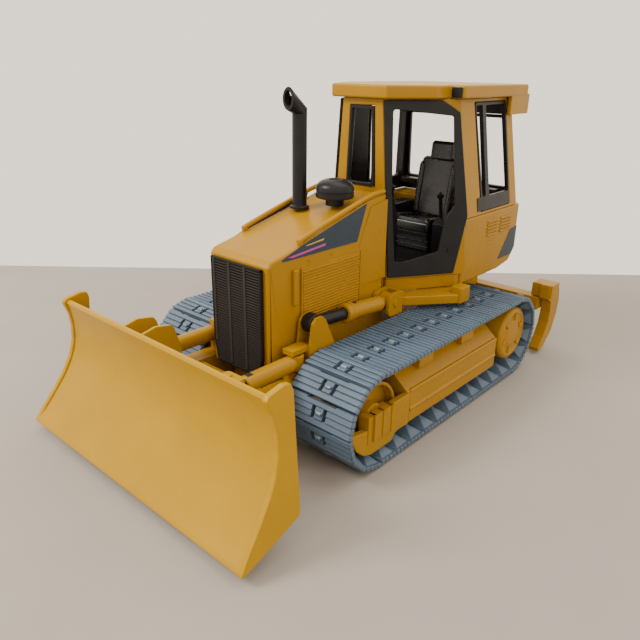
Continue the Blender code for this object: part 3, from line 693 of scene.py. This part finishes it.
pair("side_sill_panel_@", on_side([(86.4, 121.4), (91.6, 121.4), (91.6, 131), (85.4, 131)], 0.1, 0.5, 0.15,
                                  0.4), "machine", BLK)
put("console_top", rbox(-31.2, -20, 86, 117, 113.5, 116.4, 0.9, 1.2), "machine", SEAT)
put("rear_sill", rbox(-43, 43, 128, 134.6, 126.6, 130.6, 0.6, 0.8), "machine", BLK)

# ------------------------------------------------------------------ seat
sb = [rprism("x", [(86, 84.5), (114, 84.5), (112, 99.6), (84, 99.6)], -14.4, 14.4, 1.2, 3, 1.5)]
for i in range(3):
    sb.append(rprism("x", [(83.6 + i * 0.6, 96.5 - i * 4.2), (84.4 + i * 0.6, 97.3 - i * 4.2),
                           (112.6, 97.3 - i * 4.2),
                           (112.9, 95.7 - i * 4.2), (84.6 + i * 0.6, 95.7 - i * 4.2)], -14.9, 14.9, 0.3, 1))
put("seat_pedestal", join(*sb), "machine", SEAT, "seat_base")
sc = [rprism("x", [(79.5, 100), (114, 100), (114, 106.4), (104, 106.6), (84, 109.2), (80, 107.2)], -16.8, 16.8,
             2.2, 4, 2.2)]
for s in (1, -1):
    lo, hi = sorted((s * 12.2, s * 17.0))
    sc.append(rprism("x", [(80.5, 102), (113, 102), (113, 106.6), (102, 109.0), (84, 111.0), (80.5, 109.4)], lo,
                     hi, 1.7, 4, 2.2))
put("seat_squab", join(*sc), "machine", SEAT, "seat_cushion")
bk = [rprism("x", [(108.8, 107.4), (115.6, 107.4), (123.2, 150), (120.2, 151.4), (116, 150)], -15.4, 15.4, 2.0,
             4, 2.0),
      rprism("x", [(117.4, 148), (122.3, 148), (124.3, 161.6), (122, 163.6), (118.9, 161.8)], -10.0, 10.0, 2.0,
             4, 2.0)]
for s in (1, -1):
    lo, hi = sorted((s * 11.6, s * 16.5))
    bk.append(rprism("x", [(107.4, 108), (114, 108), (121.6, 147), (118.8, 149.0), (113.6, 146)], lo, hi, 1.8,
                     4, 2.2))
put("seat_backrest", join(*bk), "machine", SEAT, "seat_back")

# ------------------------------------------------------------------ body details
vents = []
for i in range(5):
    z = 111.4 - i * 2.5
    for y0, y1 in ((103.0, 119.5), (123.0, 141.0)):
        vents.append(rprism("y", [(52.7, z - 0.6), (53.7, z - 0.5), (54.1, z), (53.7, z + 0.6),
                                  (52.7, z + 0.8)], y0, y1, 0.4, 2))
for i in range(7):
    z = 97.0 - i * 3.2
    vents.append(rprism("y", [(52.7, z - 0.4), (53.2, z - 0.3), (53.3, z), (53.2, z + 0.3), (52.7, z + 0.4)],
                        105, 117, 0.3, 2))
pair("body_vents_@", join(*vents), "machine", YEL)
pair("rear_decal_field_@", prism("x", [(126, 79), (147.5, 79), (152.2, 84), (152.2, 101), (141.9, 100)], 53.05, 53.3),
     "machine", FILM, "rear_decal_@")

step = [(27, 21.2), (38.5, 20.2), (63.5, 51), (63.5, 68), (54, 70.1), (27, 27)]
pair("fender_step_@", join(rprism("z", step, 64.6, 71.2, 0.9, 3, 1.5),
                           rbox(56.5, 65.5, 52, 64, 64.4, 75.6, 0.9, 1.2)),
     "machine", YEL, "step_@")

# ------------------------------------------------------------------ cylinders
T, E = Vector((33, 11.0, 69.5)), Vector((33, -64.0, 75.5))
ax = (E - T).normalized()


def ear(x0, x1):
    return rprism("x", fillet([(3.6, 61), (19.6, 61), (19.6, 76.6), (3.6, 76.6)], [4.5, 1, 1.5, 6.5], 6), x0,
                  x1, 0.4, 2)


pair("lift_bracket_ears_@", join(ear(25.4, 28.8), ear(37.0, 39.8), rbox(25.6, 39.6, 17.4, 19.8, 61, 76.4, 0.6, 0.6),
                                 rod((26, 11, 69.5), (40.6, 11, 69.5), 2.6)), "machine", YEL, "lift_bracket_@")
lb = lathe(T, ax, [(3.2, 0), (3.2, 3.5), (8.0, 3.5), (9.4, 4.6), (10.4, 5.2), (38.6, 5.2), (39.2, 6.0),
                   (39.8, 6.2), (41.4, 6.2),
                   (41.9, 5.7), (43.6, 5.7), (44.1, 6.2), (45.9, 6.2), (46.5, 5.6), (46.5, 4.05), (13, 4.05),
                   (13, 0)], 56)
pair("lift_cylinder_@", join(lb, eye((29.2, T.y, T.z), (36.6, T.y, T.z), 5.9, 2.75)), "lift_barrel_@", YEL,
     "lift_barrel_@")
# The port is a dark disc on the barrel: painted shade in place of a hole.
pair("lift_port_@", rod(T + ax * 35.4 + Vector((0, 0, 4.6)), T + ax * 35.4 + Vector((0, 0, 5.5)), 1.3, 0.1),
     "lift_barrel_@", PAINTED_SHADE_BLACK)
lr = join(rod(T + ax * 24, E - ax * 5.0, 3.9, 0.3, 48), eye((29.6, E.y, E.z), (36.4, E.y, E.z), 5.9, 3.4, 48, 0.6),
          eye((28.9, E.y, E.z), (29.7, E.y, E.z), 5.0, 3.4, 48, 0.2))
pair("lift_piston_@", lr, "lift_rod_@", BLK, "lift_rod_@")
A, B = Vector((34.6, -79, 56)), Vector((34.6, -130, 56))
f1 = Vector((0, -1, 0))
ab = lathe(A, f1, [(2.8, 0), (2.8, 3.8), (3.2, 4.3), (5.4, 4.9), (6.2, 5.0), (39.8, 5.0), (40.4, 4.5),
                   (40.4, 3.3), (9, 3.3),
                   (9, 0)], 56)
pair("angle_cylinder_@", join(ab, eye((A.x, A.y, A.z - 4.6), (A.x, A.y, A.z + 4.6), 4.6, 2.5)),
     "angle_barrel_@", YEL, "angle_barrel_@")
# The square port is a thin dark block on the barrel: painted shade in place of a hole.
pair("angle_port_@", rbox(33.0, 36.2, -117.6, -113.6, 59.8, 61.15, 0.1, 0.2), "angle_barrel_@", PAINTED_SHADE_BLACK)
ar = join(rod(A + f1 * 17, B - f1 * 4, 3.2, 0.3, 40), eye((B.x, B.y, B.z - 4), (B.x, B.y, B.z + 4), 4.8, 3.0))
pair("angle_piston_@", ar, "angle_rod_@", BLK, "angle_rod_@")


# ------------------------------------------------------------------ tracks
BELT_R, BELT_RUN, FRONT_Y, REAR_Y, AXLE_Z = 28.3, 164.0, -63, 101, 31


def belt(s):
    """Position (y, z) and outward normal on the belt's pin line, s mm along it from the front of the top run."""
    R, L = BELT_R, BELT_RUN
    half_turn = math.pi * R
    s = s % (2 * L + 2 * half_turn)
    if s < L:
        return (FRONT_Y + s, AXLE_Z + R), (0, 1)
    s -= L
    if s < half_turn:
        a = math.pi / 2 - s / R
        return (REAR_Y + R * math.cos(a), AXLE_Z + R * math.sin(a)), (math.cos(a), math.sin(a))
    s -= half_turn
    if s < L:
        return (REAR_Y - s, AXLE_Z - R), (0, -1)
    s -= L
    a = -math.pi / 2 - s / R
    return (FRONT_Y + R * math.cos(a), AXLE_Z + R * math.sin(a)), (math.cos(a), math.sin(a))


LINKS = 34
PITCH = (2 * BELT_RUN + 2 * math.pi * BELT_R) / LINKS
pad = [(-7.2, -1.5), (7.2, -1.5)]
for u0 in (3.75, 0.1, -3.55, -7.2):
    pad += [(u0 + 3.45, 0.95), (u0 + 3.2, 1.25), (u0 + 0.5, 1.95), (u0 + 0.12, 1.75)]
    if u0 > -7:
        pad += [(u0, 0.6), (u0 - 0.2, 0.6)]
lk = prism("x", pad, 40.7, 87.2)
lk = cut(lk, prism("x", [(-3.6, -4), (3.6, -4), (3.6, 5), (-3.6, 5)], 58.8, 61.4),
         prism("x", [(-3.6, -4), (3.6, -4), (3.6, 5), (-3.6, 5)], 67.0, 69.6),
         prism("x", [(6.5, -4), (8.4, -4), (8.4, 5), (6.5, 5)], 54, 75))
scal = []
for u0 in (3.75, 0.1, -3.55, -7.2):
    for x0, x1 in ((86.6, 87.9), (40.2, 41.2)):
        scal.append(rprism("x", [(u0 + 0.1, -1.4), (u0 + 3.2, -1.4), (u0 + 3.2, 1.0), (u0 + 0.1, 1.6)], x0, x1,
                           0.35, 1, 0.6))
fin = skin([[(64.6, -5.4, -1.3), (86.4, -5.4, -1.3), (86.4, 5.4, -1.3), (64.6, 5.4, -1.3)],
            [(73.0, -0.4, -6.3), (77.5, -0.4, -6.3), (77.5, 0.4, -6.3), (73.0, 0.4, -6.3)]])
ribs = join(fin, rprism("y", [(41.2, -1.3), (64.6, -1.3), (60, -3.6), (50.0, -3.2)], -0.7, 0.7, 0.2, 1))
lk = join(lk, ribs, *scal)
knuckle = rod((62.2, 0, 1.2), (66.2, 0, 1.2), 1.45, 0.4, 20)


def along(o, name_mesh):
    bm = bmesh.new()
    src = o.data
    for i in range(LINKS):
        (y, z), (ny, nz) = belt((i + 0.5) * PITCH)
        m = Matrix(((1, 0, 0, 0), (0, nz, ny, y), (0, -ny, nz, z), (0, 0, 0, 1)))
        me = src.copy()
        me.transform(m)
        bm.from_mesh(me)
        bpy.data.meshes.remove(me)
    bpy.data.objects.remove(o, do_unlink=True)
    me = bpy.data.meshes.new(name_mesh)
    bm.to_mesh(me)
    bm.free()
    ob = bpy.data.objects.new(name_mesh, me)
    COL.objects.link(ob)
    return ob


pair("track_links_@", along(lk, "links"), "machine", TRK, "track_belt_@", angle=25)
pair("track_knuckles_@", along(knuckle, "knuckles"), "machine", PIN)

# ------------------------------------------------------------------ track frame and wheels
body = rprism("y", [(46, 15), (84, 15), (84, 36.5), (72, 46.5), (46, 46.5)], -35, 76.4, 0.7, 2, 0.9)
boot = [(-87.4, 30.2), (-87.4, 26.4), (-83.2, 18.8), (-76.9, 13.2), (-70.3, 10.8), (-50.2, 11.0), (-46.4, 15.5),
        (-33, 15.5), (-33, 36.2), (-50.6, 36.2), (-50.6, 28.4), (-76, 28.4)]
inner = [(-84.5, 24), (-81, 14.5), (-74, 10.9), (-50, 10.9), (-33, 15.4), (-33, 40.6), (-50, 42.5),
         (-60, 42.5), (-72, 38), (-82, 31)]
tf = [body, rprism("x", fillet(boot, [1, 1, 2, 3, 3, 3, 3, 0.5, 0.5, 1.5, 2, 3], 4), 80.8, 85.0, 0.7, 3),
      rbox(80.9, 86.4, -70, -52.4, 20, 36.6, 0.7, 0.8), rbox(80.9, 87.0, -70, -67.6, 20, 36.6, 0.3, 0.4),
      rbox(81, 87.0, -62.2, -60.4, 20, 36.6, 0.3, 0.4), rbox(81, 87.0, -54.2, -52.4, 20, 36.6, 0.3, 0.4),
      rprism("x", fillet(inner, 2.0), 46.1, 48.6, 0.6, 2), rod((47, -63, 31), (82, -63, 31), 4.0),
      rbox(60, 79, -16, 0, 44, 52, 0.8, 1.0), rbox(60, 79, 34, 50, 44, 52, 0.8, 1.0)]
# moulded ridges along the outer wall, and the block behind the ribs of the boot
tf += [rprism("y", [(83.6, 22.4), (84.5, 23.2), (84.9, 24.2), (84.5, 25.2), (83.6, 26)], -32, 75.4, 0.4, 2),
       rprism("y", [(83.4, 35.0), (84.4, 35.6), (84.6, 36.6), (83.9, 37.5), (82.6, 37.6)], -32, 75.4, 0.4, 2)]
tf.append(rbox(78, 85.6, -74, -52.4, 19, 36.2, 0.7, 0.8))
pair("track_frame_rail_@", join(*tf), "machine", YEL, "track_frame_@")
idl = lathe((49.0, -63, 31), (1, 0, 0), [(0, 4.1), (0, 16.4), (0.6, 17.1), (2, 19.4), (5, 19.6), (5, 25.4),
                                         (5.6, 26.0), (11.4, 26.0),
            (12, 25.4), (12, 19.6), (30.2, 20.6), (30.9, 20.7), (31.4, 20.2), (31.4, 19.3), (31.0, 18.8),
                                         (25.6, 18.0), (25.4, 17.4),
            (25.4, 9.0), (25.6, 8.4), (30.8, 7.8), (31.2, 7.3), (31.2, 4.1)], 64, closed=True)
pair("idler_wheel_@", idl, "idler_@", YEL, "idler_@")
dr = [lathe((47.0, 101, 33), (1, 0, 0), [(0, 5.1), (0, 18.4), (0.6, 19.6), (2, 20.3), (4, 20.3), (4, 23.6),
                                         (4.4, 24.0), (10.6, 24.0),
            (11, 23.6), (11, 20.3), (34.6, 20.3), (36.4, 19.4), (37.3, 17.6), (37.5, 16.2), (36.6, 15.0),
                                         (36.4, 11), (37.2, 9.6),
            (37.5, 8.4), (37.5, 0), (34.2, 0), (34.2, 5.1)], 72)]
bmx = bmesh.new()
bmx.from_mesh(dr[0].data)
bmesh.ops.bridge_loops(bmx, edges=[e for e in bmx.edges if e.is_boundary])
bmx.to_mesh(dr[0].data)
bmx.free()
for i in range(6):
    a = math.pi / 3 * i + 0.3
    c, s_ = math.cos(a), math.sin(a)
    cy, cz = 101 + 12.8 * c, 33 + 12.8 * s_
    pts = [(cy + u * c * 2.6 - v * s_ * 1.6, cz + u * s_ * 2.6 + v * c * 1.6) for u,
           v in ((-1, -1), (1, -1), (1, 1), (-1, 1))]
    dr.append(rprism("x", pts, 82.6, 84.7, 0.5, 2, 0.7))
pair("drum_wheel_@", join(*dr), "sprocket_@", YEL, "sprocket_drum_@")

# ------------------------------------------------------------------ ripper
arm = fillet([(135.5, 46), (135.5, 58), (150, 58), (158.5, 50), (158.5, 36), (152, 36.2), (146, 45.6)], 1.2, 3)
rf = [rbox(-77.4, 77.4, 156, 167.8, 34.5, 45.5, 0.8, 0.8), rprism("x", arm, 15, 22, 0.7, 2),
      rprism("x", arm, -22, -15, 0.7, 2),
      rod((-21, 142, 52), (21, 142, 52), 3.0), rbox(60, 66, 154, 160, 35, 45, 0.6, 0.6),
      rbox(-66, -60, 154, 160, 35, 45, 0.6, 0.6)]
put("ripper_beam", join(*rf), "ripper", YEL, "ripper_frame")
shank = fillet([(156, 57.2), (170.6, 56.2), (176.5, 50), (179, 40), (177.5, 29), (171.5, 14), (160, 4.2), (151, 1.8),
                (149.8, 5.2), (157, 14), (162, 24), (163.5, 33), (162, 42), (156, 46)],
               [1.5, 2, 2.5, 3, 4, 5, 2, 0.8, 1, 4, 3, 3, 2, 1], 4)
pair("ripper_tooth_@", join(rprism("x", shank, 77.8, 86.2, 0.7, 2), rbox(70.5, 87.6, 157.4, 171.6, 46, 57, 1.0, 1.0)),
     "ripper", YEL, "ripper_shank_@")
mid = fillet([(168.2, 46.4), (168.2, 56.4), (174, 56), (178.6, 50), (179, 40), (176, 29), (168, 14), (158, 3),
              (151, 1.8),
              (150.4, 5.5), (158, 18), (163.5, 30), (168.2, 33.8)], [0.5, 1, 2.5, 3, 3, 4, 5, 2, 0.8, 1, 4, 3, 1], 4)
put("ripper_tooth_center", rprism("x", mid, -4.1, 4.1, 0.7, 2), "ripper", YEL, "ripper_shank_center")
